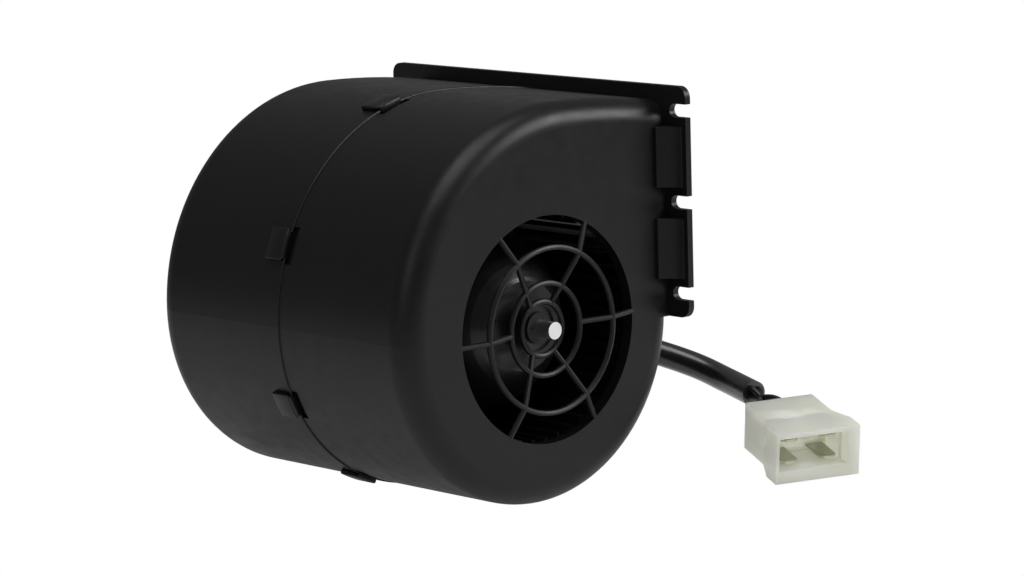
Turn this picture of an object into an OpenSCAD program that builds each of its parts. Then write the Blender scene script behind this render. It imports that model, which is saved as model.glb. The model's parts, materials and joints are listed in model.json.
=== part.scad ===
// Double-inlet centrifugal dc blower: two scroll half-shells, one long
// double wheel on a central motor, slotted outlet flange, flying lead.
// Frame: origin at the centre of the outlet flange face, +X out of the
// outlet, Y along the fan axis, +Z up. Units mm.

/* [Scroll] */
// Radius of the first, smallest scroll arc
scroll_r = 61.3; // [55:0.1:67]
// Growth of the radius at the bottom of the scroll
scroll_step_a = 1.8; // [1:0.1:3]
// Growth of the radius at the side away from the outlet
scroll_step_b = 12.3; // [9:0.1:15]
// Radius of the gently curved duct roof
roof_r = 300; // [240:5:500]
// Half of the width of the scroll along the fan axis
shell_half = 68; // [58:0.5:80]
// Shell wall
wall = 2; // [1.6:0.1:2.6]
// Outer radius of the rounded side edge
rim_r = 8.5; // [6:0.5:11]

/* [Outlet flange] */
// Flange projection past each side wall
flange_side = 10; // [8.5:0.5:14]
// Flange lip above the duct roof
flange_lip = 5.6; // [4:0.1:9]
// Flange plate thickness
flange_t = 2.5; // [2:0.1:4]
// Width of the open fixing slots
slot_w = 4.7; // [3.5:0.1:5.5]
// Depth of the open fixing slots
slot_d = 7.8; // [6:0.1:8.5]
// Pitch of the fixing slots
slot_pitch = 32.2; // [29:0.1:33]

/* [Inlet and guard] */
// Inlet opening radius
inlet_r = 39.5; // [34:0.5:42]
// Radius of the outer guard ring
guard_a_r = 28.6; // [25:0.1:31]
// Radius of the second guard ring
guard_b_r = 16; // [13.5:0.1:19]
// Radius of the ring round the shaft end
guard_c_r = 9.4; // [8.8:0.1:10.5]
// Thickness of the guard bars
guard_bar = 2.1; // [1.6:0.1:2.6]

/* [Wheels] */
// Outer radius over the blades
wheel_r = 46; // [43.5:0.25:48]
// Radial depth of the blades
blade_depth = 7.4; // [6:0.1:8.5]
// Blades on each wheel
blade_n = 42; // [32:1:48]
// Blade thickness
blade_t = 1.1; // [0.8:0.1:1.5]

/* [Motor] */
// Motor can outer radius
motor_r = 28; // [26:0.25:28.5]
// Shaft radius
shaft_r = 3; // [2.5:0.05:3.5]
// Length of the shaft end outside each inlet plane
shaft_out = 3.2; // [1:0.1:6]
// Radial air gap between armature and magnets
air_gap = 0.8; // [0.5:0.05:1.2]

/* [Cable and connector] */
// Outer radius of the cable sleeve
cable_r = 4.7; // [3.5:0.1:5.5]
// Connector shroud width
plug_w = 32; // [29:0.5:35]
// Connector shroud height
plug_h = 18.5; // [16.5:0.5:20]
// Connector length
plug_len = 35; // [30:0.5:40]
// Connector tab width
tab_w = 6.3; // [4.8:0.1:6.6]

/* [Hidden] */
$fn = 72;
e = 0.01;
fit = 0.05;               // running clearance on the shaft
// scroll: quarter arcs that meet on the axes, in the X-Z plane
c1 = [-1.4, 0.1];
r1 = scroll_r;
c2 = c1 + [0, scroll_step_a];
r2 = r1 + scroll_step_a;
c3 = c2 + [scroll_step_b, 0];
r3 = r2 + scroll_step_b;
flange_x = c1[0] + r1 + 0.2;
c4 = c3 + [0, r3 - roof_r];
roof_z = c4[1] + sqrt(roof_r * roof_r - pow(flange_x - c4[0], 2));
flange_top = roof_z + flange_lip;
flange_bot = c1[1] - 2.7;
flange_half = shell_half + flange_side;
flange_zc = (flange_top + flange_bot) / 2;
floor_z = flange_bot + 5.9;   // duct floor at the flange
nose = [flange_x - 7.8, floor_z + 7.9];   // cut-off edge of the tongue
slot_r = slot_w / 2;
flange_round = 4;
// wheels
wheel_back = 3;               // inner face of each wheel from the middle
wheel_end = shell_half - 5.5; // outer end of each wheel
blade_r = wheel_r - blade_depth;
dome_t = 1.6;
hub_r = 8;
hub_end = wheel_end - 0.5;
// motor
can_t = 1.5;
can_half = 35;
end_t = 1.8;
boss_r = 9.5;
boss_end = can_half + end_t + 6;
bush_r = 6.8;
mag_t = 4.6;
core_r = motor_r - can_t - mag_t - air_gap;
core_y = [-22, 12];
comm_r = 8.5;
// support
sup_t = 3.8;
sup_w = 3.4;
rib_h = 2;
iso_r = motor_r + 2.6;
sup_hub_r = iso_r + 3;
sup_hub_h = 9;
arms = [150, 205, 262, 318];
// seam clips: arc centre, arc radius, angle
clips = [[c3, r3, 107], [c3, r3, 158], [c2, r2, 206], [c2, r2, 246],
         [c1, r1, 308]];
clip_deg = 4.2;
clip_h = 1.8;
// cable exit through the seam
exit_deg = -14;
exit_dir = [cos(exit_deg), 0, sin(exit_deg)];
exit_p = [c1[0], 0, c1[1]] + r1 * exit_dir;
gr_hole = cable_r + 1.2;
gr_r = cable_r + 3;
ground_z = c2[1] - r2;    // what the lowest point of the scroll stands on
core = 30;                 // plain disc that fills the scroll round the arc centres

// ---------- helpers ----------
module at_origin() translate([-flange_x, 0, -flange_zc]) children();
// local z becomes -Y (near side), local y becomes Z
module near() rotate([90, 0, 0]) children();
module far() mirror([0, 1, 0]) near() children();
module disc_y(r, y0, y1, n = 72)
    translate([0, y1, 0]) rotate([90, 0, 0]) cylinder(r = r, h = y1 - y0, $fn = n);
module tube_y(ro, ri, y0, y1, n = 72) difference() {
    disc_y(ro, y0, y1, n);
    disc_y(ri, y0 - 1, y1 + 1, n);
}
module at_arc(c, a) translate([c[0], c[1], 0]) rotate([0, 0, a]) children();
// sector of a ring about one arc centre: radial r0..r1, local z z0..z1
module sector(c, ra, rb, z0, z1, a0, a1) at_arc(c, a0)
    rotate_extrude(angle = a1 - a0) translate([ra, z0]) square([rb - ra, z1 - z0]);
function unit(v) = v / norm(v);
// distance from the fan axis to an arc along direction a
function reach(c, r, a) = let (u = [cos(a), sin(a)], k = u * c)
    k + sqrt(k * k - c * c + r * r);
function arc_r(a) = a > 270 ? reach(c1, r1, a) : a > 180 ? reach(c2, r2, a) : reach(c3, r3, a);

// section of the scroll body against radius: flat side and rounded edge
module rim_section(r, h, f, x = 4) {
    translate([x, 0]) square([r - f - x, h]);
    translate([r - f, 0]) square([f, h - f]);
    translate([r - f, h - f]) intersection() {
        circle(r = f);
        square(f);
    }
}
// solid scroll body of one half
module scroll_body() {
    h = shell_half;
    at_arc(c1, -90) rotate_extrude(angle = 90) rim_section(r1, h, rim_r);
    at_arc(c2, 180) rotate_extrude(angle = 90) rim_section(r2, h, rim_r);
    at_arc(c3, 90) rotate_extrude(angle = 90) rim_section(r3, h, rim_r);
    cylinder(r = core, h = h);
}
// solid duct of one half, under the curved roof, up to the flange
module duct_body() intersection() {
    at_arc(c4, 90) rotate_extrude(angle = -14) rim_section(roof_r, shell_half, rim_r, roof_r - 90);
    translate([c3[0] - 1, flange_bot, -1]) cube([flange_x - c3[0] + 1, 200, shell_half + 2]);
}
// cut-off tongue between scroll and duct, full inner width
module tongue(h) linear_extrude(h) {
    polygon([[flange_x - 1, flange_bot], [flange_x - 1, floor_z + 0.01],
             nose + [1, 1.2], nose + [-1, -0.8], [flange_x - wall, flange_bot]]);
    translate(nose) circle(r = 1.4, $fn = 24);
}
module flange_outline() difference() {
    translate([0, flange_bot]) square([flange_half, flange_top - flange_bot]);
    for (z = [flange_bot, flange_top])
        translate([flange_half - flange_round, z == flange_bot ? z : z - flange_round])
            difference() {
                square([flange_round + 1, flange_round]);
                translate([0, z == flange_bot ? flange_round : 0]) circle(r = flange_round);
            }
}
module flange_slot(z) translate([0, z]) {
    translate([flange_half - slot_d + slot_r, 0]) circle(r = slot_r, $fn = 32);
    translate([flange_half - slot_d + slot_r, -slot_r]) square([slot_d, slot_w]);
}
// half flange, local: x along X, y up, z outwards along the fan axis
module flange_half_body() {
    translate([flange_x, 0, 0]) rotate([0, -90, 0]) linear_extrude(flange_t)
        difference() {
            flange_outline();
            for (k = [-1, 0, 1]) flange_slot(flange_zc + k * slot_pitch);
        }
    // stiffening blocks behind the plate between the slots
    for (k = [-1, 1])
        translate([0, flange_zc + k * slot_pitch / 2 + 10.6, 0]) rotate([90, 0, 0])
            linear_extrude(21.2) difference() {
                translate([flange_x - flange_t - 6, shell_half - 1])
                    square([6.5, flange_side - 0.2]);
                translate([flange_x - flange_t - 14.3, shell_half + 11.8]) circle(r = 13.4);
            }
}
// guard: rings and bars joined to the inlet edge
guard_z = [0, 2.6, -0.6, -2.6];
module guard_ring(r, z) translate([0, 0, shell_half + z - guard_bar / 2])
    rotate_extrude() translate([r, 0]) circle(d = guard_bar, $fn = 8);
module guard_bar_to(a, ra, za, rb, zb) {
    l = norm([rb - ra, zb - za]);
    rotate([0, 0, a]) translate([ra, 0, shell_half + za - guard_bar / 2])
        rotate([0, 90 - atan2(zb - za, rb - ra), 0])
            cylinder(d = guard_bar, h = l, $fn = 8);
}
module guard() {
    guard_ring(guard_a_r, guard_z[1]);
    guard_ring(guard_b_r, guard_z[2]);
    guard_ring(guard_c_r, guard_z[3]);
    for (a = [0:60:300]) {
        guard_bar_to(a + 2, guard_a_r, guard_z[1], inlet_r + 0.8, guard_z[0] + 0.1);
        guard_bar_to(a + 2, guard_b_r, guard_z[2], guard_a_r, guard_z[1]);
    }
    for (a = [60, 120, 240, 300])
        guard_bar_to(a + 2, guard_c_r, guard_z[3], guard_b_r, guard_z[2]);
}
// clip recess in the near shell and pad seat
module clip_recess(c) sector(c[0], c[1] - 1.2, c[1] + 3, -1, 4.6, c[2] - clip_deg - 0.9, c[2] + clip_deg + 0.9);
// outside of one half, solid
module half_block() {
    scroll_body();
    duct_body();
    flange_half_body();
}
module half_hollowed() difference() {
    half_block();
    translate([0, 0, -1]) hollow(shell_half - wall + 1);
    translate([0, 0, shell_half - wall - 1]) cylinder(r = inlet_r, h = wall + 3);
}
module half_inside() {
    tongue(shell_half - wall + 0.5);
    // bell lip round the inlet
    translate([0, 0, shell_half - 4.4]) difference() {
        cylinder(r = inlet_r + 1.6, h = 4);
        translate([0, 0, -1]) cylinder(r = inlet_r, h = 6);
    }
    // ribs that clamp the motor support
    for (s = [[c1, r1, -90, -24], [c2, r2, 180, 270], [c3, r3, 90, 180]])
        sector(s[0], s[1] - wall - sup_w, s[1] - wall + 0.3, sup_t / 2, sup_t / 2 + rib_h, s[2], s[3]);
}
module half_shell(front) difference() {
    union() {
        half_hollowed();
        half_inside();
        guard();
    }
    if (front) for (c = clips) clip_recess(c);
    translate([c1[0], c1[1], 0]) rotate([0, 90, exit_deg]) translate([0, 0, r1 - 8])
        cylinder(r = gr_hole + 0.1, h = 16);
}
// duct space of one half, above the floor, open through the flange face
module duct_space(h) intersection() {
    at_arc(c4, 90) rotate_extrude(angle = -14)
        rim_section(roof_r - wall, h, rim_r - wall, roof_r - 90);
    translate([c3[0] - 1, floor_z, -1]) cube([flange_x + 4 - c3[0], 200, h + 2]);
}
// air space of one half
module hollow(h) {
    f = rim_r - wall;
    at_arc(c1, -90) rotate_extrude(angle = 102) rim_section(r1 - wall, h, f);
    at_arc(c2, 180) rotate_extrude(angle = 90) rim_section(r2 - wall, h, f);
    at_arc(c3, 90) rotate_extrude(angle = 90) rim_section(r3 - wall, h, f);
    cylinder(r = core, h = h);
    duct_space(h);
}
// ---------- housing ----------
module front_housing() color([0.07, 0.07, 0.075]) at_origin() near() half_shell(true);
module rear_housing() color([0.07, 0.07, 0.075]) at_origin() far() half_shell(false);
module housing_clips() color([0.09, 0.09, 0.095]) at_origin() near() for (c = clips) {
    // pad on the far shell, bridge over the seam
    at_arc(c[0], c[2] - clip_deg) rotate_extrude(angle = 2 * clip_deg) polygon([
        [c[1] + 0.02, -8.2], [c[1] + clip_h - 0.6, -8.2], [c[1] + clip_h, -7.6],
        [c[1] + clip_h, 0.6], [c[1] + 0.8, 0.6], [c[1] + 0.8, -1], [c[1] + 0.02, -1]]);
    // leg dropped into the recess of the near shell
    sector(c[0], c[1] - 1.15, c[1] + clip_h - 0.3, 0.2, 1.7, c[2] - clip_deg + 0.6, c[2] + clip_deg - 0.6);
}

// ---------- support ----------
module motor_support() color([0.1, 0.1, 0.1]) at_origin() near() difference() {
    union() {
        translate([0, 0, -sup_hub_h]) cylinder(r = sup_hub_r, h = 2 * sup_hub_h);
        for (s = [[c1, r1, -90, -24], [c2, r2, 180, 270], [c3, r3, 90, 180]])
            sector(s[0], s[1] - wall - sup_w, s[1] - wall - 0.05, -sup_t / 2, sup_t / 2, s[2], s[3]);
        for (a = arms) rotate([0, 0, a]) translate([sup_hub_r - 1, -4, -sup_t / 2])
            cube([arc_r(a) - wall - 1.2 - sup_hub_r + 1, 8, sup_t]);
        rotate([0, 0, exit_deg - 6]) translate([sup_hub_r - 1, -4, -sup_t / 2])
            cube([18, 8, sup_t]);
    }
    translate([0, 0, -sup_hub_h - 1]) cylinder(r = iso_r + 0.02, h = 2 * sup_hub_h + 2);
    // channel for the motor leads
    rotate([0, 0, exit_deg - 6]) translate([iso_r - 2, -2, -1.1]) cube([22, 4, 30]);
}
module motor_isolator() color([0.05, 0.05, 0.05]) at_origin() near() difference() {
    translate([0, 0, -sup_hub_h]) cylinder(r = iso_r, h = 2 * sup_hub_h);
    translate([0, 0, -sup_hub_h - 1]) cylinder(r = motor_r + 0.02, h = 2 * sup_hub_h + 2);
    rotate([0, 0, exit_deg - 6]) translate([motor_r - 3, -2, -1.1]) cube([8, 4, 30]);
}

// ---------- motor ----------
module motor_can() color([0.62, 0.63, 0.64]) at_origin() difference() {
    union() {
        disc_y(motor_r, -can_half, can_half);
        disc_y(boss_r, -boss_end, -can_half + 1);
    }
    disc_y(motor_r - can_t, -can_half + end_t, can_half + 1);
    disc_y(bush_r + 0.02, -boss_end + 1.2, 0);
    disc_y(shaft_r + 1, -boss_end - 1, 0);
}
module motor_end_cap() color([0.6, 0.61, 0.62]) at_origin() difference() {
    union() {
        disc_y(motor_r, can_half, can_half + end_t);
        disc_y(motor_r - can_t - 0.1, can_half - 2, can_half + 1);
        disc_y(boss_r, can_half, boss_end);
    }
    disc_y(motor_r - can_t - 2.1, can_half - 3, can_half - e);
    disc_y(bush_r + 0.02, can_half - 3, boss_end - 1.2);
    disc_y(shaft_r + 1, can_half - 3, boss_end + 1);
    for (a = [35, 215]) rotate([0, -a, 0]) translate([19, 0, 0]) disc_y(1.7, can_half - 3, can_half + 4, 24);
    rotate([0, -(exit_deg - 6), 0]) translate([motor_r - 4.6, can_half - 3, -2.2]) cube([3, 8, 4.4]);
}
module motor_tie_screws() color([0.5, 0.51, 0.52]) at_origin() for (a = [35, 215])
    rotate([0, -a, 0]) translate([19, 0, 0]) {
        disc_y(1.6, can_half - 6, can_half + end_t + 0.5, 24);
        difference() {
            disc_y(3, can_half + end_t, can_half + end_t + 2.2, 32);
            translate([-4, can_half + end_t + 1.3, -0.4]) cube([8, 2, 0.8]);
        }
    }
module motor_magnets() color([0.22, 0.22, 0.23]) at_origin() near() for (a = [0, 180])
    translate([0, 0, -16]) rotate([0, 0, a - 62]) rotate_extrude(angle = 124)
        translate([motor_r - can_t - mag_t, 0]) square([mag_t - 0.02, 42]);
module brush_holder() color([0.16, 0.13, 0.1]) at_origin() {
    difference() {
        union() {
            disc_y(motor_r - can_t - 0.1, can_half - 5, can_half - 2.01);
            for (a = [90, 270]) rotate([0, -a, 0]) translate([comm_r + 1, 22, -3.6]) cube([13, 9, 7.2]);
            for (a = [35, 215]) rotate([0, -a, 0]) translate([19, 0, 0]) disc_y(3.4, can_half - 8, can_half - 4, 24);
        }
        disc_y(comm_r + 0.9, 20, can_half);
        for (a = [90, 270]) rotate([0, -a, 0]) translate([comm_r, 23.6, -2.05]) cube([20, 4.9, 4.1]);
        for (a = [35, 215]) rotate([0, -a, 0]) translate([19, 0, 0]) disc_y(1.62, 20, can_half, 24);
        rotate([0, -(exit_deg - 6), 0]) translate([motor_r - 4.6, can_half - 8, -2.2]) cube([5, 12, 4.4]);
    }
}
module motor_brushes() color([0.12, 0.12, 0.12]) at_origin() for (a = [90, 270])
    rotate([0, -a, 0]) translate([comm_r + 0.02, 23.65, -2]) cube([7, 4.8, 4]);
module brush_springs() color([0.7, 0.68, 0.6]) at_origin() for (a = [90, 270])
    rotate([0, -a, 0]) translate([comm_r + 7.02, 26.05, 0]) rotate([0, 90, 0]) difference() {
        cylinder(r = 1.6, h = 5.5, $fn = 24);
        translate([0, 0, -1]) cylinder(r = 1.1, h = 8, $fn = 24);
        for (k = [0:3]) translate([-2, -2, 0.7 + 1.3 * k]) rotate([8, 0, 0]) cube([2, 4, 0.5]);
    }
module shaft_bushings() color([0.66, 0.5, 0.28]) at_origin() for (s = [-1, 1])
    tube_y(bush_r, shaft_r + fit, s < 0 ? -boss_end + 1.2 : can_half - 0.8,
           s < 0 ? -can_half + 0.8 : boss_end - 1.2);
module thrust_washers() color([0.75, 0.72, 0.6]) at_origin() {
    tube_y(5.5, shaft_r + 0.01, -can_half + 0.85, -can_half + 1.6);
    tube_y(5.5, shaft_r + 0.01, can_half - 1.6, can_half - 0.85);
}
module motor_shaft() color([0.78, 0.79, 0.8]) at_origin()
    disc_y(shaft_r, -shell_half - shaft_out, shell_half + shaft_out);
module armature_core() color([0.45, 0.46, 0.48]) at_origin() difference() {
    disc_y(core_r, core_y[0], core_y[1]);
    disc_y(shaft_r, core_y[0] - 1, core_y[1] + 1);
    for (k = [0:9]) rotate([0, 36 * k, 0]) {
        translate([core_r - 8.5, core_y[0] - 1, -1.6]) cube([6.5, core_y[1] - core_y[0] + 2, 3.2]);
        translate([core_r - 3, core_y[0] - 1, -0.7]) cube([5, core_y[1] - core_y[0] + 2, 1.4]);
    }
}
module armature_windings() color([0.72, 0.38, 0.18]) at_origin() {
    for (y = [core_y[0] - 6, core_y[1]]) tube_y(core_r - 2.2, 7, y, y + 6);
    for (k = [0:9]) rotate([0, 36 * k, 0])
        translate([core_r - 8.3, core_y[0] - 0.5, -1.4]) cube([6, core_y[1] - core_y[0] + 1, 2.8]);
}
module commutator() color([0.8, 0.5, 0.3]) at_origin() difference() {
    disc_y(comm_r, core_y[1] + 6.02, 30);
    disc_y(shaft_r, 10, 31);
    for (k = [0:9]) rotate([0, 36 * k + 18, 0]) translate([comm_r - 1, core_y[1] + 8, -0.25]) cube([2, 20, 0.5]);
}

// ---------- wheels ----------
function dome_in(y) = (blade_r - dome_t + 0.2) * sqrt(1 - pow((y - wheel_back) / (wheel_end - 2.5 - wheel_back), 2));
dome_ys = [for (k = [0:14]) wheel_back + (wheel_end - 6.5 - wheel_back) * sin(6 * k)];
module dome_section() polygon(concat(
    [for (y = dome_ys) [dome_in(y) + dome_t, y]],
    [[shaft_r + 1.5, dome_ys[14]], [shaft_r + 1.5, dome_ys[14] - dome_t]],
    [for (k = [13:-1:0]) [dome_in(dome_ys[k]), dome_ys[k]]]));
module blade_2d() {
    polygon(concat(
        [for (t = [0:5]) let (u = t / 5) (blade_r + 0.5 + (blade_depth - 0.6) * u) *
            [cos(20 * u * u), -sin(20 * u * u)]],
        [for (t = [5:-1:0]) let (u = t / 5) (blade_r + 0.5 + (blade_depth - 0.6) * u) *
            [cos(20 * u * u - 1.45), -sin(20 * u * u - 1.45)]]));
}
// local z runs from the middle outwards
module wheel() {
    difference() {
        union() {
            translate([0, 0, wheel_back]) cylinder(r = wheel_r + 0.4, h = 2);
            translate([0, 0, wheel_end - 2.2]) difference() {
                cylinder(r = wheel_r + 0.5, h = 2.2);
                translate([0, 0, -1]) cylinder(r = wheel_r - 2.6, h = 5);
            }
            for (k = [0:blade_n - 1]) rotate([0, 0, 360 / blade_n * k])
                translate([0, 0, wheel_back + 1.5]) linear_extrude(wheel_end - wheel_back - 2.5) blade_2d();
        }
        translate([0, 0, wheel_back - 1]) cylinder(r = blade_r - 0.8, h = 4);
    }
    difference() {
        rotate_extrude() dome_section();
        cylinder(r = shaft_r + 2, h = 80);
    }
    difference() {
        translate([0, 0, hub_end - 12]) cylinder(r = hub_r, h = 12);
        cylinder(r = shaft_r + 0.01, h = 80);
    }
}
module front_wheel() color([0.1, 0.1, 0.105]) at_origin() near() wheel();
module rear_wheel() color([0.1, 0.1, 0.105]) at_origin() far() wheel();
module wheel_clips() color([0.55, 0.56, 0.58]) at_origin() for (s = [-1, 1])
    tube_y(5.6, shaft_r + 0.01, s < 0 ? -hub_end - 1.2 : hub_end, s < 0 ? -hub_end : hub_end + 1.2, 36);

// ---------- electrics ----------
module speed_resistors() color([0.86, 0.85, 0.8]) at_origin() for (a = [300, 331]) {
    d = arc_r(a) - wall;
    rotate([0, -a, 0]) translate([d - 3.6, 0, 0]) {
        disc_y(2.6, -26, -6, 32);
        for (y = [-26.8, -6]) disc_y(2.9, y, y + 0.8, 32);
    }
}

module cable_grommet() color([0.06, 0.06, 0.06]) at_origin() translate(exit_p)
    rotate([0, 90 - exit_deg, 0]) difference() {
        union() {
            translate([0, 0, 0.05]) cylinder(r = gr_r, h = 1.8);
            translate([0, 0, -wall - 2.2]) cylinder(r = gr_hole, h = wall + 6.4);
            translate([0, 0, -wall - 2.2]) cylinder(r = gr_r - 0.6, h = 1.7);
        }
        translate([0, 0, -wall - 4]) cylinder(r = cable_r + 0.02, h = 16);
    }

// ---------- cable ----------
function lerp3(a, b, t) = a + (b - a) * t;
function knot(p, i) = p[max(0, min(len(p) - 1, i))];
function spline(p, m) = concat([for (i = [0:len(p) - 2], k = [0:m - 1]) let (
        t = k / m, a = knot(p, i - 1), b = p[i], c = p[i + 1], d = knot(p, i + 2))
    0.5 * (2 * b + (c - a) * t + (2 * a - 5 * b + 4 * c - d) * t * t
        + (3 * b - a - 3 * c + d) * t * t * t)], [p[len(p) - 1]]);
function heading(p, i) = unit(p[min(i + 1, len(p) - 1)] - p[max(i - 1, 0)]);
function side(t) = unit(cross(t, [0.31, 0.17, 1]));
function rings(p, r, n) = [for (i = [0:len(p) - 1]) let (t = heading(p, i), u = side(t), v = cross(t, u))
    for (j = [0:n - 1]) p[i] + r * (cos(360 * j / n) * u + sin(360 * j / n) * v)];
module sweep(p, r, n) polyhedron(points = rings(p, r, n), faces = concat(
    [[for (j = [0:n - 1]) j]],
    [for (i = [0:len(p) - 2], j = [0:n - 1]) let (a = i * n, b = a + n, k = (j + 1) % n)
        each [[a + j, b + j, a + k], [b + j, b + k, a + k]]],
    [[for (j = [n - 1:-1:0]) (len(p) - 1) * n + j]]), convexity = 6);
// connector frame: local x forward, z up
function rx(v, a) = [v[0], v[1] * cos(a) - v[2] * sin(a), v[1] * sin(a) + v[2] * cos(a)];
function ry(v, a) = [v[0] * cos(a) + v[2] * sin(a), v[1], -v[0] * sin(a) + v[2] * cos(a)];
function rz(v, a) = [v[0] * cos(a) - v[1] * sin(a), v[0] * sin(a) + v[1] * cos(a), v[2]];
// pose: heading, nose down, roll; the nose touches the standing surface
plug_yaw = -112;
plug_tilt = 10.5;
plug_roll = 2;
function plug_turn(v) = rz(ry(rx(v, plug_roll), plug_tilt), plug_yaw);
plug_low = min([for (w = [-1, 1]) plug_turn([plug_len, w * plug_w / 2, -plug_h / 2])[2]]);
plug_pos = [exit_p[0] + 42, -79, ground_z + 0.05 - plug_low];
function plug_pt(v) = plug_pos + plug_turn(v);
// cable route: straight out, then a slack bend towards the near side
route = [exit_p - 6 * exit_dir, exit_p + 4 * exit_dir, exit_p + 14 * exit_dir,
         exit_p + [30, -3.5, -8], exit_p + [44.5, -11, -12.5], exit_p + [53, -26, -17.6],
         exit_p + [54, -41.5, -21.6], plug_pt([-22, 0, 2.5])];
cable_end = route[7];
module cable_sleeve() color([0.05, 0.05, 0.05]) at_origin() sweep(spline(route, 4), cable_r, 12);

module at_plug() translate(plug_pos) rotate([plug_roll, plug_tilt, plug_yaw]) children();
wire_r = 1.15;
wire_y = 6;
wire_z = 3.4;
mouth = [-1.8, 1.5];       // centre of the opening and of the tabs
tab_y = 7.4;
tab_z = 4;
tab_t = 0.8;
poles = [[-1, -1], [-1, 1], [1, -1], [1, 1]];
cable_dir = unit(route[7] - route[6]);
cable_u = side(cable_dir);
cable_v = cross(cable_dir, cable_u);
function wire_path(q) = let (s = cable_end + 1.35 * (q[0] * cable_u + q[1] * cable_v),
        g = plug_pt([0, q[0] * wire_y, q[1] * wire_z]), b = plug_pt([1, q[0] * wire_y, q[1] * wire_z]) - g)
    [s + 0.02 * cable_dir, s + 2 * cable_dir, lerp3(s, g, 0.55) + [0, 0, q[1] > 0 ? 2.2 : 0],
     g - 2 * b, g + 2.5 * b];
module lead_wires() color([0.1, 0.1, 0.1]) at_origin()
    for (q = poles) sweep(spline(wire_path(q), 5), wire_r, 10);

// ---------- connector ----------
module box_at(x0, x1, w, h) translate([x0, -w / 2, -h / 2]) cube([x1 - x0, w, h]);
module connector_housing() color([0.86, 0.87, 0.82]) at_origin() at_plug() difference() {
    union() {
        box_at(0, plug_len - 18, plug_w - 6, plug_h - 1.2);
        hull() {
            box_at(plug_len - 18.5, plug_len - 18, plug_w - 6, plug_h - 1.2);
            box_at(plug_len - 8, plug_len - 7.5, plug_w, plug_h);
        }
        box_at(plug_len - 8, plug_len, plug_w, plug_h);
    }
    translate([0, mouth[0], mouth[1]]) box_at(plug_len - 16, plug_len + 1, plug_w - 8, plug_h - 6.5);
    translate([0, mouth[0], mouth[1]]) box_at(plug_len - 5, plug_len + 1, plug_w - 6, plug_h - 6.5);
    for (q = poles) {
        translate([-1, q[0] * wire_y, q[1] * wire_z]) rotate([0, 90, 0]) cylinder(r = wire_r + 0.1, h = 8, $fn = 24);
        translate([plug_len - 19, mouth[0] + q[0] * tab_y - tab_w / 2 - 0.05,
                   mouth[1] + q[1] * tab_z - tab_t / 2 - 0.05])
            cube([6, tab_w + 0.1, tab_t + 0.1]);
    }
}
module connector_tabs() color([0.72, 0.72, 0.7]) at_origin() at_plug() for (q = poles)
    translate([plug_len - 18.95, mouth[0] + q[0] * tab_y, mouth[1] + q[1] * tab_z - tab_t / 2]) linear_extrude(tab_t)
        polygon([[0, -tab_w / 2], [14.5, -tab_w / 2], [16, -tab_w / 2 + 1.3], [16, tab_w / 2 - 1.3],
                 [14.5, tab_w / 2], [0, tab_w / 2]]);

front_housing();
rear_housing();
housing_clips();
motor_support();
motor_isolator();
motor_can();
motor_end_cap();
motor_tie_screws();
motor_magnets();
brush_holder();
motor_brushes();
brush_springs();
shaft_bushings();
thrust_washers();
motor_shaft();
armature_core();
armature_windings();
commutator();
front_wheel();
rear_wheel();
wheel_clips();
speed_resistors();
cable_grommet();
cable_sleeve();
lead_wires();
connector_housing();
connector_tabs();
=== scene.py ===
"""Looks of a double-inlet dc blower: moulded scroll, seam clips, wheels, motor, cable and connector."""

import json
import logging
import math
from dataclasses import dataclass, field
from enum import Enum
from typing import Callable, Iterable, Sequence

import bpy
from mathutils import Matrix, Vector

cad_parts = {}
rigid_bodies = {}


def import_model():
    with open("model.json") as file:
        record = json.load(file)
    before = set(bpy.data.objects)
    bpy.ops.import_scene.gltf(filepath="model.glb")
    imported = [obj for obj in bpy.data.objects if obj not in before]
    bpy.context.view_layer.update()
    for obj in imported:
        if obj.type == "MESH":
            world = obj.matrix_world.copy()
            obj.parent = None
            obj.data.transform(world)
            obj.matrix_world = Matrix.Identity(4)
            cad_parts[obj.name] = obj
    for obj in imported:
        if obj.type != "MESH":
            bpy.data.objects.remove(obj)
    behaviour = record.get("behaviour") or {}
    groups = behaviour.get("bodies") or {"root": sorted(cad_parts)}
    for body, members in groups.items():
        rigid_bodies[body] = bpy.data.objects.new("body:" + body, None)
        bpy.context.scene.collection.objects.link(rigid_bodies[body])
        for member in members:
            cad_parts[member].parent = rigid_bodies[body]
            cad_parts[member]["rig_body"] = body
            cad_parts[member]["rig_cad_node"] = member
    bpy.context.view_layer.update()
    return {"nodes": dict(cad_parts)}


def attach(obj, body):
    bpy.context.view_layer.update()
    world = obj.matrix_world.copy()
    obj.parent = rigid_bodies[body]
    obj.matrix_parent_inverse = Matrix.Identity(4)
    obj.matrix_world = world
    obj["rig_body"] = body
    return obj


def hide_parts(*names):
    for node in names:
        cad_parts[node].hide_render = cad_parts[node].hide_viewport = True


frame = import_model()

log = logging.getLogger("blower")
MM = 0.001
AXIS_X = -60.1  # fan axis in the part's frame, mm
AXIS_Z = -38.119
DRIFT_SCALE = 38.0  # slow colour drift, turns per metre
MARKS_SCALE = 170.0  # handling marks, turns per metre


def linear(colour: str) -> tuple[float, float, float, float]:
    """Turn an sRGB hex colour into the linear colour that a shader socket takes.

    Args:
        colour: Six hex digits after a hash.

    Returns:
        Red, green, blue and alpha, linear.
    """
    parts = [int(colour[i:i + 2], 16) / 255 for i in (1, 3, 5)]
    rgb = [c / 12.92 if c <= 0.04045 else ((c + 0.055) / 1.055) ** 2.4 for c in parts]
    return rgb[0], rgb[1], rgb[2], 1.0


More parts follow.
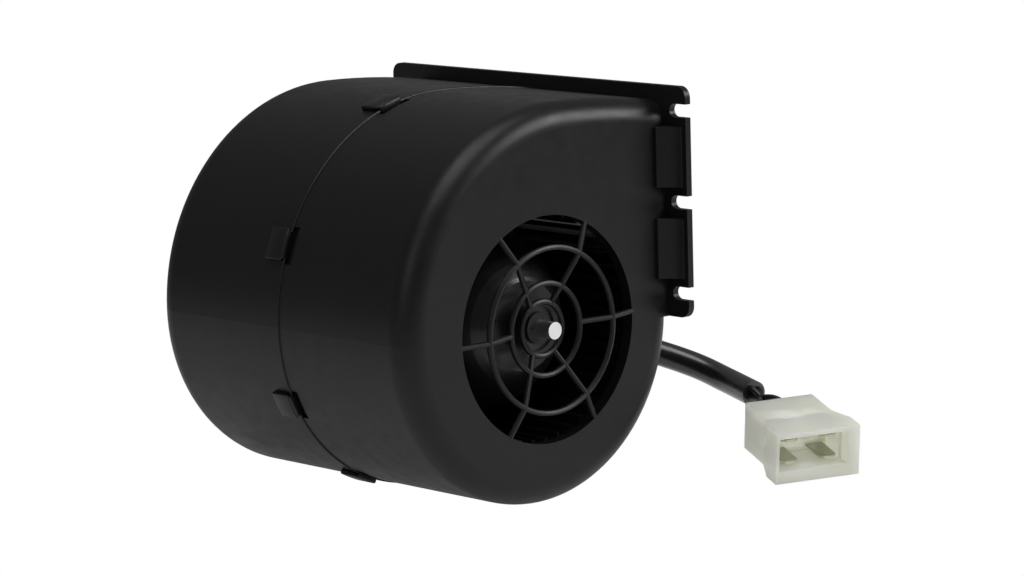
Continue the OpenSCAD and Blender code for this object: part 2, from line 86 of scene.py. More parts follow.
def point(x: float, y: float, z: float) -> Vector:
    """Place a point given about the fan axis and the seam plane.

    Args:
        x: Towards the outlet, mm.
        y: Along the fan axis, mm.
        z: Up, mm.

    Returns:
        The same point in the part's frame, in metres.
    """
    return Vector(((x + AXIS_X) * MM, y * MM, (z + AXIS_Z) * MM))


def add_node(tree: bpy.types.NodeTree, kind: str, settings: dict | None = None,
             links: dict | None = None) -> bpy.types.Node:
    """Add one shader node with its settings and incoming links.

    Args:
        tree: Node tree that takes the node.
        kind: Blender's node type.
        settings: Socket defaults, by socket name or number, and node properties after a dot.
        links: Output sockets that feed inputs, by input name or number.

    Returns:
        The new node.
    """
    node = tree.nodes.new(kind)
    for key, value in (settings or {}).items():
        if isinstance(key, str) and key.startswith("."):
            setattr(node, key[1:], value)
        else:
            node.inputs[key].default_value = value
    for key, socket in (links or {}).items():
        tree.links.new(socket, node.inputs[key])
    return node


def deselect() -> None:
    """Leave edit mode and select nothing."""
    if bpy.context.mode != "OBJECT":
        bpy.ops.object.mode_set(mode="OBJECT")
    bpy.ops.object.select_all(action="DESELECT")


def pick(piece: bpy.types.Object) -> None:
    """Make one piece the only selected and active one."""
    deselect()
    piece.select_set(True)
    bpy.context.view_layer.objects.active = piece


def select_faces(piece: bpy.types.Object, test: Callable[[Vector, Vector], bool]) -> None:
    """Select the faces that pass a test, and stay in edit mode with faces chosen.

    Args:
        piece: Mesh object in edit mode.
        test: Takes a face's centre and normal.
    """
    bpy.ops.mesh.select_mode(type="FACE")
    bpy.ops.mesh.select_all(action="DESELECT")
    bpy.ops.object.mode_set(mode="OBJECT")
    for face in piece.data.polygons:
        face.select = bool(test(face.center, face.normal))
    bpy.ops.object.mode_set(mode="EDIT")


def settle(piece: bpy.types.Object, placing: Matrix | None = None, angle: float = 32.0) -> None:
    """Apply a piece's place to its mesh and smooth its gentle edges.

    Args:
        piece: Mesh object.
        placing: Matrix that takes the piece to its place, or None.
        angle: Edges sharper than this stay sharp, degrees.
    """
    pick(piece)
    if placing is not None:
        piece.matrix_world = placing @ piece.matrix_world
    bpy.ops.object.transform_apply(location=True, rotation=True, scale=True)
    bpy.ops.object.mode_set(mode="EDIT")
    bpy.ops.mesh.select_all(action="SELECT")
    bpy.ops.mesh.normals_make_consistent(inside=False)
    bpy.ops.object.mode_set(mode="OBJECT")
    bpy.ops.object.shade_smooth_by_angle(angle=math.radians(angle))


def apply_modifier(piece: bpy.types.Object, kind: str, **settings: object) -> None:
    """Add a modifier with its settings and apply it.

    Args:
        piece: Mesh object.
        kind: Blender's modifier type.
        **settings: Properties of the modifier.
    """
    pick(piece)
    bpy.ops.object.modifier_add(type=kind)
    modifier = piece.modifiers[-1]
    for key, value in settings.items():
        setattr(modifier, key, value)
    bpy.ops.object.modifier_apply(modifier=modifier.name)


class Body(Enum):
    """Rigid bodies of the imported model."""

    STATOR = "stator"
    ROTOR = "rotor"


class Grain(Enum):
    """How a surface was made, which sets the pattern of its bump."""

    SPARK = "spark-eroded mould texture"
    TURNED = "turned about the fan axis"
    ROLLED = "rolled or drawn sheet"
    WOUND = "turns of wire"
    PRESSED = "pressed powder"


@dataclass(frozen=True)
class Finish:
    """A finish of one material, with its own colour drift, roughness drift and bump.

    Attributes:
        name: Real material and how its surface was made.
        colour: Main sRGB colour.
        shade: Second sRGB colour of the slow drift across the piece.
        roughness: Middle roughness.
        spread: How far the roughness drifts each way.
        grain: What made the surface.
        grain_mm: Size of the grain.
        depth_mm: Depth of the bump.
        metallic: 1 for a metal.
        ior: Index of refraction.
        specular: Strength of the reflection at normal view.
        coat: Weight of a clear glossy skin.
    """

    name: str
    colour: str
    shade: str
    roughness: float
    spread: float
    grain: Grain
    grain_mm: float
    depth_mm: float
    metallic: float = 0.0
    ior: float = 1.5
    specular: float = 0.5
    coat: float = 0.0

    def pattern(self, tree: bpy.types.NodeTree, place: bpy.types.NodeSocket) -> bpy.types.NodeSocket:
        """Build the height of the surface grain.

        Args:
            tree: Material's node tree.
            place: Object coordinates.

        Returns:
            Socket with the height, 0 to 1.
        """
        if self.grain in (Grain.TURNED, Grain.ROLLED, Grain.WOUND):
            long_way = {Grain.TURNED: (40, 1000, 40), Grain.ROLLED: (1000, 60, 1000),
                        Grain.WOUND: (120, 1000, 120)}[self.grain]
            stretch = add_node(tree, "ShaderNodeMapping", {"Scale": long_way}, {"Vector": place})
            return add_node(tree, "ShaderNodeTexNoise",
                            {"Scale": 1 / self.grain_mm, "Detail": 3.0, "Roughness": 0.6},
                            {"Vector": stretch.outputs[0]}).outputs[0]
        return add_node(tree, "ShaderNodeTexNoise",
                        {"Scale": 1000 / self.grain_mm, "Detail": 2.0, "Roughness": 0.55},
                        {"Vector": place}).outputs[0]

    def build(self) -> bpy.types.Material:
        """Build the node material.

        Returns:
            The material, made once for each finish.
        """
        ready = bpy.data.materials.get(self.name)
        if ready:
            return ready
        material = bpy.data.materials.new(self.name)
        material.use_nodes = True
        tree = material.node_tree
        tree.nodes.clear()
        place = add_node(tree, "ShaderNodeTexCoord").outputs["Object"]
        # slow drift of the colour over some centimetres, as a moulding or a casting has
        drift = add_node(tree, "ShaderNodeTexNoise", {"Scale": DRIFT_SCALE, "Detail": 3.0}, {"Vector": place})
        colour = add_node(tree, "ShaderNodeMix", {".data_type": "RGBA", 6: linear(self.colour),
                                                  7: linear(self.shade)}, {0: drift.outputs[0]})
        # handling marks change the gloss over a few millimetres
        marks = add_node(tree, "ShaderNodeTexNoise", {"Scale": MARKS_SCALE, "Detail": 5.0, "Roughness": 0.65},
                         {"Vector": place})
        rough = add_node(tree, "ShaderNodeMapRange", {
            1: 0.3, 2: 0.7, 3: self.roughness - self.spread, 4: self.roughness + self.spread},
            {0: marks.outputs[0]})
        bump = add_node(tree, "ShaderNodeBump", {"Strength": 1.0, "Distance": self.depth_mm * MM},
                        {"Height": self.pattern(tree, place)})
        shader = add_node(tree, "ShaderNodeBsdfPrincipled", {
            "Metallic": self.metallic, "IOR": self.ior, "Specular IOR Level": self.specular,
            "Coat Weight": self.coat, "Coat Roughness": 0.12},
            {"Base Color": colour.outputs[2], "Roughness": rough.outputs[0], "Normal": bump.outputs[0]})
        self.refine(shader)
        add_node(tree, "ShaderNodeOutputMaterial", None, {"Surface": shader.outputs[0]})
        return material

    def refine(self, shader: bpy.types.Node) -> None:
        """Set what a special finish adds to the shader; a plain one adds nothing."""

    def dress(self, pieces: Iterable[bpy.types.Object]) -> None:
        """Give this finish to pieces.

        Args:
            pieces: Mesh objects, new ones or CAD nodes.
        """
        material = self.build()
        for piece in pieces:
            if piece.data.materials:
                for i in range(len(piece.data.materials)):
                    piece.data.materials[i] = material
            else:
                piece.data.materials.append(material)


@dataclass(frozen=True)
class NaturalNylon(Finish):
    """Unpigmented polyamide that light enters a few millimetres deep."""

    depth_of_light_mm: float = 9.0

    def refine(self, shader: bpy.types.Node) -> None:
        """Let light pass through thin walls and scatter under the skin, a little more of it warm."""
        shader.inputs["Transmission Weight"].default_value = 0.6
        shader.inputs["Subsurface Weight"].default_value = 0.85
        shader.inputs["Subsurface Radius"].default_value = (1.0, 0.96, 0.72)
        shader.inputs["Subsurface Scale"].default_value = self.depth_of_light_mm * MM


# glass-filled polypropylene from a spark-eroded mould: near black, satin, slightly blue sheen
MOULDED_BLACK = Finish("moulded_black_polypropylene", "#0f0f11", "#0b0b0d", 0.4, 0.05,
                       Grain.SPARK, 0.55, 0.006, ior=1.49, specular=0.24)
# the clips come from the same shot, their pads polished by the tool
CLIP_BLACK = Finish("moulded_black_clip", "#101012", "#0c0c0e", 0.36, 0.05, Grain.SPARK, 0.6, 0.006,
                    ior=1.49, specular=0.3)
# wheels: smoother nylon, dark and more glossy on the blades
WHEEL_BLACK = Finish("moulded_black_nylon_wheel", "#101012", "#0d0d0f", 0.32, 0.05, Grain.SPARK,
                     0.7, 0.004, ior=1.53, specular=0.35)
SUPPORT_BLACK = Finish("moulded_black_support", "#161617", "#101011", 0.5, 0.06, Grain.SPARK, 0.5,
                       0.008, specular=0.25)
RUBBER_BLACK = Finish("vulcanised_black_rubber", "#171717", "#121212", 0.72, 0.08, Grain.PRESSED,
                      0.8, 0.02, specular=0.25)
# flexible PVC sleeve: soft, shiny, reflects the floor in a long streak
PVC_BLACK = Finish("extruded_black_pvc", "#121212", "#191918", 0.3, 0.06, Grain.PRESSED, 2.6, 0.05,
                   ior=1.54, specular=0.55, coat=0.35)
WIRE_BLACK = Finish("extruded_black_wire_insulation", "#1a1517", "#151214", 0.3, 0.05, Grain.PRESSED,
                    1.2, 0.01, specular=0.5)
ZINC_STEEL = Finish("zinc_plated_drawn_steel", "#b4b6b8", "#a5a7aa", 0.32, 0.08, Grain.ROLLED, 0.5,
                    0.004, metallic=1.0)
SHAFT_STEEL = Finish("ground_shaft_steel", "#e6e6e6", "#dadadc", 0.3, 0.06, Grain.TURNED, 0.4, 0.002,
                     metallic=1.0)
CORE_STEEL = Finish("stamped_lamination_steel", "#77797e", "#67696d", 0.45, 0.08, Grain.ROLLED, 0.5,
                    0.01, metallic=1.0)
SPRING_STEEL = Finish("blued_spring_steel", "#8b8d92", "#767880", 0.35, 0.06, Grain.ROLLED, 0.5,
                      0.003, metallic=1.0)
# push-on clips: phosphated, almost black
PHOSPHATE = Finish("phosphated_spring_steel", "#1c1c1d", "#141415", 0.55, 0.06, Grain.ROLLED, 0.5,
                   0.003, specular=0.2)
FERRITE = Finish("sintered_ferrite", "#3a3a3c", "#303033", 0.7, 0.06, Grain.PRESSED, 0.9, 0.02)
BOARD_BROWN = Finish("phenolic_brush_board", "#4a2c1c", "#3c2417", 0.48, 0.06, Grain.PRESSED, 0.8,
                     0.01)
CARBON = Finish("pressed_carbon_copper_brush", "#2b2827", "#201e1d", 0.6, 0.08, Grain.PRESSED, 0.5,
                0.01)
BRONZE = Finish("sintered_bronze", "#a9814c", "#94703f", 0.5, 0.06, Grain.PRESSED, 0.4, 0.008,
                metallic=1.0)
WASHER_CREAM = Finish("acetal_washer", "#d8cfb4", "#c9c0a4", 0.5, 0.05, Grain.PRESSED, 0.8, 0.004)
WINDING = Finish("enamelled_copper_wire", "#a4502a", "#8c3f1f", 0.3, 0.06, Grain.WOUND, 0.6, 0.12,
                 metallic=1.0, coat=0.5)
COPPER = Finish("turned_copper_bar", "#c9805a", "#b87049", 0.28, 0.06, Grain.TURNED, 0.4, 0.004,
                metallic=1.0)
CERAMIC = Finish("glazed_ceramic_resistor", "#d9d4c4", "#c8c2b0", 0.55, 0.06, Grain.PRESSED, 0.7,
                 0.01)
# tin over brass, dull and faintly green inside the shroud
TINNED_BRASS = Finish("tin_plated_brass_tab", "#b9baa6", "#a3a48f", 0.3, 0.08, Grain.ROLLED, 0.4,
                      0.003, metallic=1.0)
# natural polyamide 66: milky, yellowish where it is thick
NATURAL_NYLON = NaturalNylon("natural_polyamide_66", "#f5f5ec", "#eff0e2", 0.36, 0.05,
                             Grain.PRESSED, 1.4, 0.01, ior=1.53, specular=0.45)
PALE_FLOOR = "#f4f4f2"


@dataclass
class ScrollHousing:
    """The two scroll half-shells with the seam bead and the snap clips.

    Attributes:
        c1: Centre of the scroll's first arc, about the fan axis, mm.
        r1: Radius of the first arc, mm.
        step_a: How much the second arc's centre rises and its radius grows, mm.
        step_b: How much the third arc's centre moves to the outlet and its radius grows, mm.
        roof_r: Radius of the roof, mm.
        roof_deg: Stretch of the roof that the bead follows, degrees.
        bead_r: Radius of the bead's round section, mm.
        bead_y: Place of the bead along the fan axis, mm.
        bead_sink: How deep the bead's middle lies in the scroll's skin, mm.
        bead_start: Where the bead starts, degrees up from +X.
        clip_edge: Width of the clips' rounded edges, mm.
    """

    c1: tuple[float, float] = (-1.4, 0.1)
    r1: float = 61.3
    step_a: float = 1.8
    step_b: float = 12.3
    roof_r: float = 300.0
    roof_deg: float = 9.4
    bead_r: float = 0.55
    bead_y: float = -0.75
    bead_sink: float = 0.12
    bead_start: float = -20.0
    clip_edge: float = 0.35

    def build(self) -> None:
        """Build and dress the housing's pieces."""
        MOULDED_BLACK.dress(frame["nodes"][n] for n in ("front_housing", "rear_housing"))
        self.seam_bead()
        self.clips()

    def seam_bead(self) -> None:
        """Spin a thin round bead round the scroll beside the seam, where the halves register."""
        c2 = (self.c1[0], self.c1[1] + self.step_a)
        c3 = (c2[0] + self.step_b, c2[1])
        r2, r3 = self.r1 + self.step_a, self.r1 + self.step_a + self.step_b
        c4 = (c3[0], c3[1] + r3 - self.roof_r)
        start = math.radians(self.bead_start)
        deselect()
        bpy.ops.mesh.primitive_circle_add(vertices=10, radius=self.bead_r * MM, fill_type="NOTHING")
        bead = bpy.context.object
        bead.name = "seam_bead"
        reach = self.r1 - self.bead_sink
        at = point(self.c1[0] + reach * math.cos(start), self.bead_y,
                   self.c1[1] + reach * math.sin(start))
        turn = Matrix.Rotation(-start, 4, "Y")
        bead.matrix_world = Matrix.Translation(at) @ turn
        bpy.ops.object.transform_apply(location=True, rotation=True, scale=True)
        bpy.ops.object.mode_set(mode="EDIT")
        bpy.ops.mesh.select_all(action="SELECT")
        first = 90 + self.bead_start
        # the arcs run from the tongue down, back and over the top; spin counts that way as negative
        for centre, degrees, steps in ((self.c1, first, 24), (c2, 90, 30), (c3, 90, 34),
                                       (c4, self.roof_deg, 8)):
            middle = point(centre[0], 0, centre[1])
            bpy.ops.mesh.spin(steps=steps, angle=-math.radians(degrees), center=middle,
                              axis=(0, 1, 0), dupli=False)
        bpy.ops.mesh.select_all(action="SELECT")
        bpy.ops.mesh.remove_doubles(threshold=1e-6)
        bpy.ops.mesh.select_all(action="DESELECT")
        bpy.ops.mesh.select_mode(type="EDGE")
        bpy.ops.mesh.select_non_manifold()
        bpy.ops.mesh.edge_face_add()
        settle(bead)
        MOULDED_BLACK.dress([bead])
        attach(bead, Body.STATOR.value)
        log.info("seam bead: %d faces", len(bead.data.polygons))

    def clips(self) -> None:
        """Round the edges of a copy of the clips."""
        pick(frame["nodes"]["housing_clips"])
        bpy.ops.object.duplicate()
        clips = bpy.context.object
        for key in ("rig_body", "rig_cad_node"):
            if key in clips:
                del clips[key]
        clips.parent = None
        clips.name = "seam_clips"
        pick(clips)
        bpy.ops.object.mode_set(mode="EDIT")
        bpy.ops.mesh.select_all(action="SELECT")
        bpy.ops.mesh.remove_doubles(threshold=2e-6)
        bpy.ops.mesh.dissolve_limited(angle_limit=math.radians(1))
        bpy.ops.object.mode_set(mode="OBJECT")
        apply_modifier(clips, "BEVEL", width=self.clip_edge * MM, segments=2, limit_method="ANGLE",
                       angle_limit=math.radians(40))
        settle(clips)
        CLIP_BLACK.dress([clips])
        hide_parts("housing_clips")
        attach(clips, Body.STATOR.value)
        log.info("seam clips: %d faces", len(clips.data.polygons))


@dataclass
class Rotor:
    """Wheels, shaft and armature: CAD nodes with their finishes."""

    finishes: dict[str, Finish] = field(default_factory=lambda: {
        "front_wheel": WHEEL_BLACK, "rear_wheel": WHEEL_BLACK, "wheel_clips": PHOSPHATE,
        "motor_shaft": SHAFT_STEEL, "armature_core": CORE_STEEL, "armature_windings": WINDING,
        "commutator": COPPER, "thrust_washers": WASHER_CREAM})

    def build(self) -> None:
        """Dress the turning nodes."""
        for node, finish in self.finishes.items():
            finish.dress([frame["nodes"][node]])
        log.info("rotor: %d nodes dressed", len(self.finishes))


@dataclass
class Motor:
    """The still parts of the motor, its support and the resistors."""

    finishes: dict[str, Finish] = field(default_factory=lambda: {
        "motor_support": SUPPORT_BLACK, "motor_isolator": RUBBER_BLACK, "motor_can": ZINC_STEEL,
        "motor_end_cap": ZINC_STEEL, "motor_tie_screws": ZINC_STEEL, "motor_magnets": FERRITE,
        "brush_holder": BOARD_BROWN, "motor_brushes": CARBON, "brush_springs": SPRING_STEEL,
        "shaft_bushings": BRONZE, "speed_resistors": CERAMIC, "cable_grommet": RUBBER_BLACK})

    def build(self) -> None:
        """Dress the still nodes."""
        for node, finish in self.finishes.items():
            finish.dress([frame["nodes"][node]])
        log.info("motor: %d nodes dressed", len(self.finishes))


@dataclass
class Connector:
    """Four-way male connector: shroud of natural nylon round four flat tabs.

    Its own frame has x forward to the mouth, y across and z up, from the middle of the rear face.

    Attributes:
        length: Length, mm.
        width: Width at the mouth, mm.
        height: Height at the mouth, mm.
        back: Middle of the rear face, about the fan axis, mm.
        turn: Roll, tilt and yaw, degrees.
        mouth: Middle of the hollows, across and up, mm.
        shoulder: Length of the widening stretch, mm.
        rim: Length of the full-width stretch at the mouth, mm.
        rear_inset: How much narrower and lower the rear block is, mm.
        lip_depth: Depth of the wide hollow at the mouth, mm.
        lip_inset: How much narrower and lower than the mouth end that hollow is, mm.
        hollow_depth: Depth of the narrow hollow behind it, from the mouth, mm.
        hollow_inset: How much narrower and lower than the mouth end that one is, mm.
        wire_y: Wire holes to each side of the middle, mm.
        wire_z: Wire holes above and below the middle, mm.
        wire_hole_r: Radius of the wire holes, mm.
        wire_hole_depth: Depth of the wire holes, mm.
        edge: Width of the rounded edges, mm.
    """

    length: float = 35.0
    width: float = 32.0
    height: float = 18.5
    back: Vector = field(default_factory=lambda: Vector((100.0791, -79.0, -45.1331)))
    turn: tuple[float, float, float] = (2.0, 10.5, -112.0)
    mouth: tuple[float, float] = (-1.8, 1.5)
    shoulder: float = 10.0
    rim: float = 8.0
    rear_inset: tuple[float, float] = (6.0, 1.2)
    lip_depth: float = 5.0
    lip_inset: tuple[float, float] = (6.0, 6.5)
    hollow_depth: float = 16.0
    hollow_inset: tuple[float, float] = (8.0, 6.5)
    wire_y: float = 6.0
    wire_z: float = 3.4
    wire_hole_r: float = 1.35
    wire_hole_depth: float = 7.0
    edge: float = 0.7

    @property
    def placing(self) -> Matrix:
        """Matrix from the connector's own millimetres to the part's frame."""
        roll, tilt, yaw = (math.radians(a) for a in self.turn)
        turned = Matrix.Rotation(yaw, 4, "Z") @ Matrix.Rotation(tilt, 4, "Y") @ Matrix.Rotation(roll, 4, "X")
        return Matrix.Translation(point(*self.back)) @ turned @ Matrix.Scale(MM, 4)

    def spot(self, x: float, y: float, z: float) -> Vector:
        """Take a point from the connector's own frame to the part's frame.

        Args:
            x: Forward, mm.
            y: Across, mm.
            z: Up, mm.

        Returns:
            The same point in the part's frame, in metres.
        """
        return self.placing @ Vector((x, y, z))

    def shroud(self) -> bpy.types.Object:
        """Model the nylon body: rear block, shoulder, open shroud and wire holes.

        Returns:
            The finished piece, in place.
        """
        deselect()
        rear = self.length - self.shoulder - self.rim
        w, h = self.width - self.rear_inset[0], self.height - self.rear_inset[1]
        bpy.ops.mesh.primitive_cube_add(size=1, location=(rear / 2, 0, 0), scale=(rear, w, h))
        body = bpy.context.object
        body.name = "connector_body"
        bpy.ops.object.transform_apply(location=True, rotation=True, scale=True)
        bpy.ops.object.mode_set(mode="EDIT")
        for reach, dy, dz in ((self.shoulder, self.width / w, self.height / h), (self.rim, 1.0, 1.0)):
            select_faces(body, lambda c, n: n.x > 0.9)
            bpy.ops.mesh.extrude_region_move(TRANSFORM_OT_translate={"value": (reach, 0, 0)})
            bpy.ops.transform.resize(value=(1, dy, dz))
        bpy.ops.object.mode_set(mode="OBJECT")
        for depth, inset in ((self.lip_depth, self.lip_inset), (self.hollow_depth, self.hollow_inset)):
            self.carve(body, (self.length - depth, *self.mouth),
                       (self.width - inset[0], self.height - inset[1]), depth)
        for sy in (-1, 1):
            for sz in (-1, 1):
                deselect()
                bpy.ops.mesh.primitive_cylinder_add(vertices=24, radius=self.wire_hole_r,
                                                    depth=2 * self.wire_hole_depth,
                                                    location=(0, sy * self.wire_y, sz * self.wire_z),
                                                    rotation=(0, math.pi / 2, 0))
                self.subtract(body, bpy.context.object)
        apply_modifier(body, "BEVEL", width=self.edge, segments=4, limit_method="ANGLE",
                       angle_limit=math.radians(24))
        settle(body, self.placing)
        return body

    def carve(self, body: bpy.types.Object, at: Sequence[float], size: Sequence[float], depth: float) -> None:
        """Cut a box-shaped hollow from the mouth.

        Args:
            body: Piece that is cut.
            at: Innermost point of the hollow on its own axis, mm.
            size: Width and height of the hollow, mm.
            depth: Depth of the hollow, mm; the cutter runs past the mouth.
        """
        deselect()
        long = depth + 3
        bpy.ops.mesh.primitive_cube_add(size=1, location=(at[0] + long / 2, at[1], at[2]),
                                        scale=(long, size[0], size[1]))
        self.subtract(body, bpy.context.object)

    def subtract(self, body: bpy.types.Object, cutter: bpy.types.Object) -> None:
        """Cut one piece with another and remove the cutter.

        Args:
            body: Piece that is cut.
            cutter: Piece that is taken away.
        """
        apply_modifier(body, "BOOLEAN", object=cutter, operation="DIFFERENCE", solver="EXACT")
        bpy.data.objects.remove(cutter)

    def build(self) -> bpy.types.Object:
        """Build and dress the connector.

        Returns:
            The nylon body.
        """
        body = self.shroud()
        NATURAL_NYLON.dress([body])
        TINNED_BRASS.dress([frame["nodes"]["connector_tabs"]])
        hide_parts("connector_housing")
        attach(body, Body.STATOR.value)
        log.info("connector body: %d faces", len(body.data.polygons))
        return body


@dataclass
class Lead:
    """Sleeved cable and the four wires between it and the connector.

    Attributes:
        connector: Connector at the lead's end.
        exit_deg: Where the cable leaves the scroll wall, degrees up from +X.
        radius: Radius of the sleeve, mm.
        cut_end: Cut end of the sleeve in the connector's own frame, mm.
        wire_r: Radius of a wire, mm.
        bundle_r: Wires from the sleeve's middle, sideways and upwards, mm.
        bundle_up: Direction that sets how the bundle is turned in the sleeve.
        wire_lift: How far the upper two wires arch, mm.
    """

    connector: Connector
    exit_deg: float = -14.0
    radius: float = 4.7
    cut_end: tuple[float, float, float] = (-22.0, 0.0, 2.5)
    wire_r: float = 1.15
    bundle_r: float = 1.35
    bundle_up: tuple[float, float, float] = (0.31, 0.17, 1.0)
    wire_lift: float = 2.2

    @property
    def exit(self) -> Vector:
        """Middle of the cable where it leaves the scroll wall, about the fan axis, mm."""
        a = math.radians(self.exit_deg)
        return Vector((ScrollHousing.c1[0] + ScrollHousing.r1 * math.cos(a), 0,
                       ScrollHousing.c1[1] + ScrollHousing.r1 * math.sin(a)))

    def route(self) -> list[Vector]:
        """Route of the cable, in metres, from the scroll wall to its cut end."""
        a = math.radians(self.exit_deg)
        way = Vector((math.cos(a), 0, math.sin(a)))
        end = self.connector.spot(*self.cut_end)
        knots = [self.exit - 6 * way, self.exit + 4 * way, self.exit + 14 * way,
                 self.exit + Vector((30, -3.5, -8)), self.exit + Vector((44.5, -11, -12.5)),
                 self.exit + Vector((53, -26, -17.6)), self.exit + Vector((54, -41.5, -21.6))]
        return [point(*k) for k in knots] + [end]

    @staticmethod
    def smooth(knots: Sequence[Vector], steps: int) -> list[Vector]:
        """Pass a smooth line through knots.

        Args:
            knots: Points that the line goes through.
            steps: Pieces between two knots.

        Returns:
            Points of the line.
        """
        line = []
        for i in range(len(knots) - 1):
            a, b, c, d = (knots[max(0, min(len(knots) - 1, j))] for j in (i - 1, i, i + 1, i + 2))
            for k in range(steps):
                t = k / steps
                line.append(0.5 * (2 * b + (c - a) * t + (2 * a - 5 * b + 4 * c - d) * t * t
                                   + (3 * b - a - 3 * c + d) * t ** 3))
        line.append(knots[-1])
        return line

    @staticmethod
    def tube(name: str, line: Sequence[Vector], radius: float, sides: int) -> bpy.types.Object:
        """Make a curve with a round section along a line.

        Args:
            name: Name of the piece.
            line: Points in metres.
            radius: Radius in mm.
            sides: Resolution of the round section.

        Returns:
            The curve object.
        """
        curve = bpy.data.curves.new(name, "CURVE")
        curve.dimensions = "3D"
        curve.bevel_depth = radius * MM
        curve.bevel_resolution = sides
        curve.use_fill_caps = True
        spline = curve.splines.new("POLY")
        spline.points.add(len(line) - 1)
        for knot, at in zip(spline.points, line):
            knot.co = (*at, 1.0)
        piece = bpy.data.objects.new(name, curve)
        bpy.context.scene.collection.objects.link(piece)
        return piece

    def wires(self) -> bpy.types.Object:
        """Make the four wires as one mesh piece."""
        route = self.smooth(self.route(), 8)
        end, way = route[-1], (route[-1] - route[-2]).normalized()
        side = way.cross(Vector(self.bundle_up)).normalized()
        over = way.cross(side)
        made = []
        for sy in (-1, 1):
            for sz in (-1, 1):
                start = end + self.bundle_r * MM * (sy * side + sz * over)
                gate = self.connector.spot(0, sy * self.connector.wire_y, sz * self.connector.wire_z)
                ahead = (self.connector.spot(1, 0, 0) - self.connector.spot(0, 0, 0)).normalized() * MM
                lift = Vector((0, 0, self.wire_lift * MM if sz > 0 else 0))
                knots = [start - 3 * MM * way, start + 2 * MM * way, start.lerp(gate, 0.55) + lift,
                         gate - 2 * ahead, gate + 5 * ahead]
                made.append(self.tube("lead_wire", self.smooth(knots, 8), self.wire_r, 5))
        deselect()
        for piece in made:
            piece.select_set(True)
        bpy.context.view_layer.objects.active = made[0]
        bpy.ops.object.convert(target="MESH")
        bpy.ops.object.join()
        wires = bpy.context.object
        wires.name = "connector_wires"
        settle(wires, None, 60)
        return wires

    def build(self, connector_body: bpy.types.Object) -> None:
        """Args:
            connector_body: Nylon body at the lead's end; not used.
        """
        wires = self.wires()
        WIRE_BLACK.dress([wires])
        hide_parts("lead_wires")
        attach(wires, Body.STATOR.value)
        line = self.smooth(self.route(), 8)[8:]
        sleeve = self.tube("cable_sleeve_tube", line, self.radius, 9)
        PVC_BLACK.dress([sleeve])
        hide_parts("cable_sleeve")
        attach(sleeve, Body.STATOR.value)


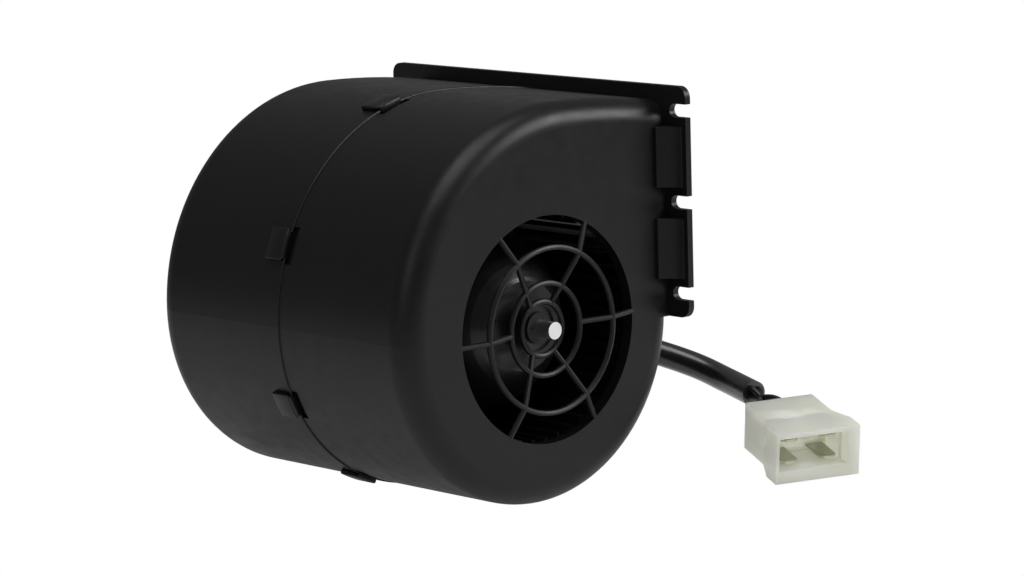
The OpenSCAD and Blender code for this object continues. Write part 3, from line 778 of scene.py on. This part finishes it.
@dataclass
class Studio:
    """Pale floor, soft lamps and the camera.

    Attributes:
        ground: Height of the floor in the part's frame, mm.
        azimuth: Turn of the camera about +Z, degrees.
        elevation: How far the camera looks down, degrees.
        roll: Turn of the camera about its view, degrees.
        distance: Camera from the middle of the fan axis, along the view, mm.
        aside: Camera to the right of the middle of the fan axis, mm.
        above: Camera above it, square to the view, mm.
        lens: Focal length, mm.
        sensor: Width of the sensor, mm.
        floor_radius: Radius of the floor, m.
        floor_mirror: Share of the floor's white that reflections see.
        dome_strength: Brightness of the dome.
    """

    ground: float = -99.32
    azimuth: float = -41.918
    elevation: float = 8.874
    roll: float = -1.545
    distance: float = 1419.0
    aside: float = 33.0095
    above: float = 7.7087
    lens: float = 140.625
    sensor: float = 36.0
    floor_radius: float = 0.55
    floor_mirror: float = 0.3
    dome_strength: float = 0.2

    def camera(self) -> None:
        """Place the camera."""
        az, el, roll = (math.radians(a) for a in (self.azimuth, self.elevation, self.roll))
        back = Vector((math.sin(az) * math.cos(el), -math.cos(az) * math.cos(el), math.sin(el)))
        flat = Vector((math.cos(az), math.sin(az), 0))
        tall = back.cross(flat)
        right = flat * math.cos(roll) + tall * math.sin(roll)
        up = tall * math.cos(roll) - flat * math.sin(roll)
        at = back * self.distance + right * self.aside + up * self.above
        data = bpy.data.cameras.new("studio_camera")
        data.sensor_width = self.sensor
        data.lens = self.lens
        data.clip_end = 20
        camera = bpy.data.objects.new("studio_camera", data)
        bpy.context.scene.collection.objects.link(camera)
        turned = Matrix((right, up, back)).transposed().to_4x4()
        camera.matrix_world = Matrix.Translation(point(*at)) @ turned
        bpy.context.scene.camera = camera

    def floor(self) -> None:
        """Lay the pale floor, white to the camera and dimmed in reflections."""
        deselect()
        bpy.ops.mesh.primitive_circle_add(vertices=96, radius=self.floor_radius, fill_type="NGON",
                                          location=(-0.02, -0.03, self.ground * MM))
        floor = bpy.context.object
        floor.name = "studio_floor"
        bpy.ops.object.transform_apply(location=True, rotation=True, scale=True)
        material = bpy.data.materials.new("pale_floor_paint")
        material.use_nodes = True
        tree = material.node_tree
        tree.nodes.clear()
        paint = add_node(tree, "ShaderNodeBsdfDiffuse", {0: linear(PALE_FLOOR)})
        white = add_node(tree, "ShaderNodeEmission", {0: (1, 1, 1, 1), 1: 1.0})
        mix = add_node(tree, "ShaderNodeMixShader", None, {
            0: self.seen(tree, self.floor_mirror), 1: paint.outputs[0], 2: white.outputs[0]})
        add_node(tree, "ShaderNodeOutputMaterial", None, {0: mix.outputs[0]})
        floor.data.materials.append(material)

    @staticmethod
    def seen(tree: bpy.types.NodeTree, mirror: float) -> bpy.types.NodeSocket:
        """Make a switch that is 1 for camera and transmission rays, and partly on for glossy ones.

        Args:
            tree: Node tree of the floor or the world.
            mirror: Share of the white that reflections see.

        Returns:
            The switch's socket.
        """
        path = add_node(tree, "ShaderNodeLightPath")
        through = add_node(tree, "ShaderNodeMath", {".operation": "MAXIMUM"}, {
            0: path.outputs["Is Camera Ray"], 1: path.outputs["Is Transmission Ray"]})
        return add_node(tree, "ShaderNodeMath", {".operation": "MULTIPLY_ADD", 1: mirror}, {
            0: path.outputs["Is Glossy Ray"], 2: through.outputs[0]}).outputs[0]

    def world(self) -> None:
        """Set a soft grey dome that is white to the camera."""
        world = bpy.data.worlds.new("studio_world")
        bpy.context.scene.world = world
        world.use_nodes = True
        tree = world.node_tree
        tree.nodes.clear()
        dome = add_node(tree, "ShaderNodeBackground", {0: (1, 1, 1, 1), 1: self.dome_strength})
        white = add_node(tree, "ShaderNodeBackground", {0: (1, 1, 1, 1), 1: 1.0})
        mix = add_node(tree, "ShaderNodeMixShader", None, {
            0: self.seen(tree, 0.0), 1: dome.outputs[0], 2: white.outputs[0]})
        add_node(tree, "ShaderNodeOutputWorld", None, {0: mix.outputs[0]})

    def lamps(self) -> None:
        """Hang the soft boxes: one over the top, one at the front right, one low at the left."""
        middle = point(0, 0, 10)
        for name, at, size, power in (
                ("soft_box_top", (-0.25, -0.15, 1.1), 0.9, 9.0),
                ("soft_box_front_right", (0.6, -0.7, 0.5), 0.5, 9.0),
                ("soft_box_left", (-1.1, -0.35, 0.5), 0.5, 1.2)):
            data = bpy.data.lights.new(name, "AREA")
            data.size = size
            data.energy = power
            lamp = bpy.data.objects.new(name, data)
            bpy.context.scene.collection.objects.link(lamp)
            lamp.location = Vector(at)
            lamp.rotation_euler = (middle - Vector(at)).to_track_quat("-Z", "Y").to_euler()

    def build(self) -> None:
        """Build the studio."""
        self.floor()
        self.world()
        self.lamps()
        bpy.context.scene.view_settings.view_transform = "Standard"
        log.info("studio ready")


def main() -> None:
    """Build every sub-assembly in order."""
    logging.basicConfig(level=logging.INFO, format="%(name)s: %(message)s")
    studio = Studio()
    studio.camera()
    connector = Connector()
    Lead(connector).build(connector.build())
    ScrollHousing().build()
    Rotor().build()
    Motor().build()
    studio.build()


if __name__ == "__main__":
    main()
